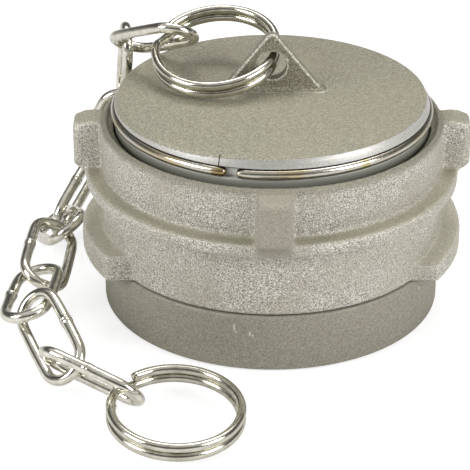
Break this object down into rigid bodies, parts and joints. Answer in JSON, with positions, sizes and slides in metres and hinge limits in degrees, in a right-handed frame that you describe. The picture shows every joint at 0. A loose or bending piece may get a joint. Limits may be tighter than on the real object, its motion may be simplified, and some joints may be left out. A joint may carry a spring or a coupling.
{
  "type": "coupling cap",
  "caption": "Blank cap for a quarter-turn hose coupling: cast body with a lug, ribbed locking ring with helical ramps, and a tether of links with split rings.",
  "frame": {"origin": "middle of the closing plate's flat inner face, on the cap's axis", "axes": "+Z along the cap's axis, from its open side to its closed side; -Y to the front, where the wire's opening is"},
  "size_m": [0.1151, 0.1325, 0.069],
  "materials": {
    "cast": "shot-blasted casting, machined at the rim",
    "plated": "bright plated steel wire",
    "spring": "drawn stainless wire",
    "seal": "moulded"
  },
  "bodies": {
    "cap": {"cap_body": "cast", "face_seal": "seal", "snap_ring": "spring"},
    "locking_ring": {"locking_ring": "cast"},
    "split_ring_upper": {"split_ring_upper": "plated"},
    "chain_link_01": {"chain_link_01": "plated"},
    "chain_link_02": {"chain_link_02": "plated"},
    "chain_link_03": {"chain_link_03": "plated"},
    "chain_link_04": {"chain_link_04": "plated"},
    "chain_link_05": {"chain_link_05": "plated"},
    "chain_link_06": {"chain_link_06": "plated"},
    "chain_link_07": {"chain_link_07": "plated"},
    "chain_link_08": {"chain_link_08": "plated"},
    "chain_link_09": {"chain_link_09": "plated"},
    "split_ring_lower": {"split_ring_lower": "plated"}
  },
  "joints": [
    {"name": "locking_ring_turn", "type": "hinge", "parent": "cap", "child": "locking_ring", "pos_m": [0, 0, -0.018], "axis": [0, 0, 1], "range_deg": [-6, 33]},
    {"name": "split_ring_upper_swing", "type": "hinge", "parent": "cap", "child": "split_ring_upper", "pos_m": [0, 0.0033, 0.01115], "axis": [0, 1, 0], "range_deg": [0, 36]},
    {"name": "chain_link_01_swing", "type": "hinge", "parent": "split_ring_upper", "child": "chain_link_01", "pos_m": [-0.02523, 0.0195, 0.01232], "axis": [0.6599, 0.7109, 0.2431], "range_deg": [0, 20]},
    {"name": "chain_link_02_swing", "type": "hinge", "parent": "chain_link_01", "child": "chain_link_02", "pos_m": [-0.03952, 0.02506, 0.00833], "axis": [0.2965, 0.7158, -0.6322], "range_deg": [0, 24]},
    {"name": "chain_link_03_swing", "type": "hinge", "parent": "chain_link_02", "child": "chain_link_03", "pos_m": [-0.03895, 0.03597, -0.01348], "axis": [-0.1013, 0.851, 0.5153], "range_deg": [-4, 12]},
    {"name": "chain_link_04_swing", "type": "hinge", "parent": "chain_link_03", "child": "chain_link_04", "pos_m": [-0.05046, 0.03652, -0.02881], "axis": [-0.2908, 0.0701, -0.9542], "range_deg": [0, 17]},
    {"name": "chain_link_05_swing", "type": "hinge", "parent": "chain_link_04", "child": "chain_link_05", "pos_m": [-0.05184, 0.0212, -0.03835], "axis": [-0.279, 0.88, -0.3845], "range_deg": [-4, 32]},
    {"name": "chain_link_06_swing", "type": "hinge", "parent": "chain_link_05", "child": "chain_link_06", "pos_m": [-0.05263, 0.00319, -0.03547], "axis": [0.7966, 0.1806, 0.5768], "range_deg": [-24, 11]},
    {"name": "chain_link_07_swing", "type": "hinge", "parent": "chain_link_06", "child": "chain_link_07", "pos_m": [-0.06125, -0.01465, -0.03568], "axis": [-0.1696, 0.9492, 0.2649], "range_deg": [-32, 5]},
    {"name": "chain_link_08_swing", "type": "hinge", "parent": "chain_link_07", "child": "chain_link_08", "pos_m": [-0.05427, -0.03335, -0.03594], "axis": [0.1411, 0.9899, -0.0144], "range_deg": [-32, 0]},
    {"name": "chain_link_09_swing", "type": "hinge", "parent": "chain_link_08", "child": "chain_link_09", "pos_m": [-0.0473, -0.05372, -0.04338], "axis": [-0.684, -0.1304, -0.7177], "range_deg": [-22, 32]},
    {"name": "split_ring_lower_swing", "type": "hinge", "parent": "chain_link_09", "child": "split_ring_lower", "pos_m": [-0.03415, -0.0571, -0.04784], "axis": [0.8637, -0.4838, -0.1414], "range_deg": [-4, 36]}
  ]
}
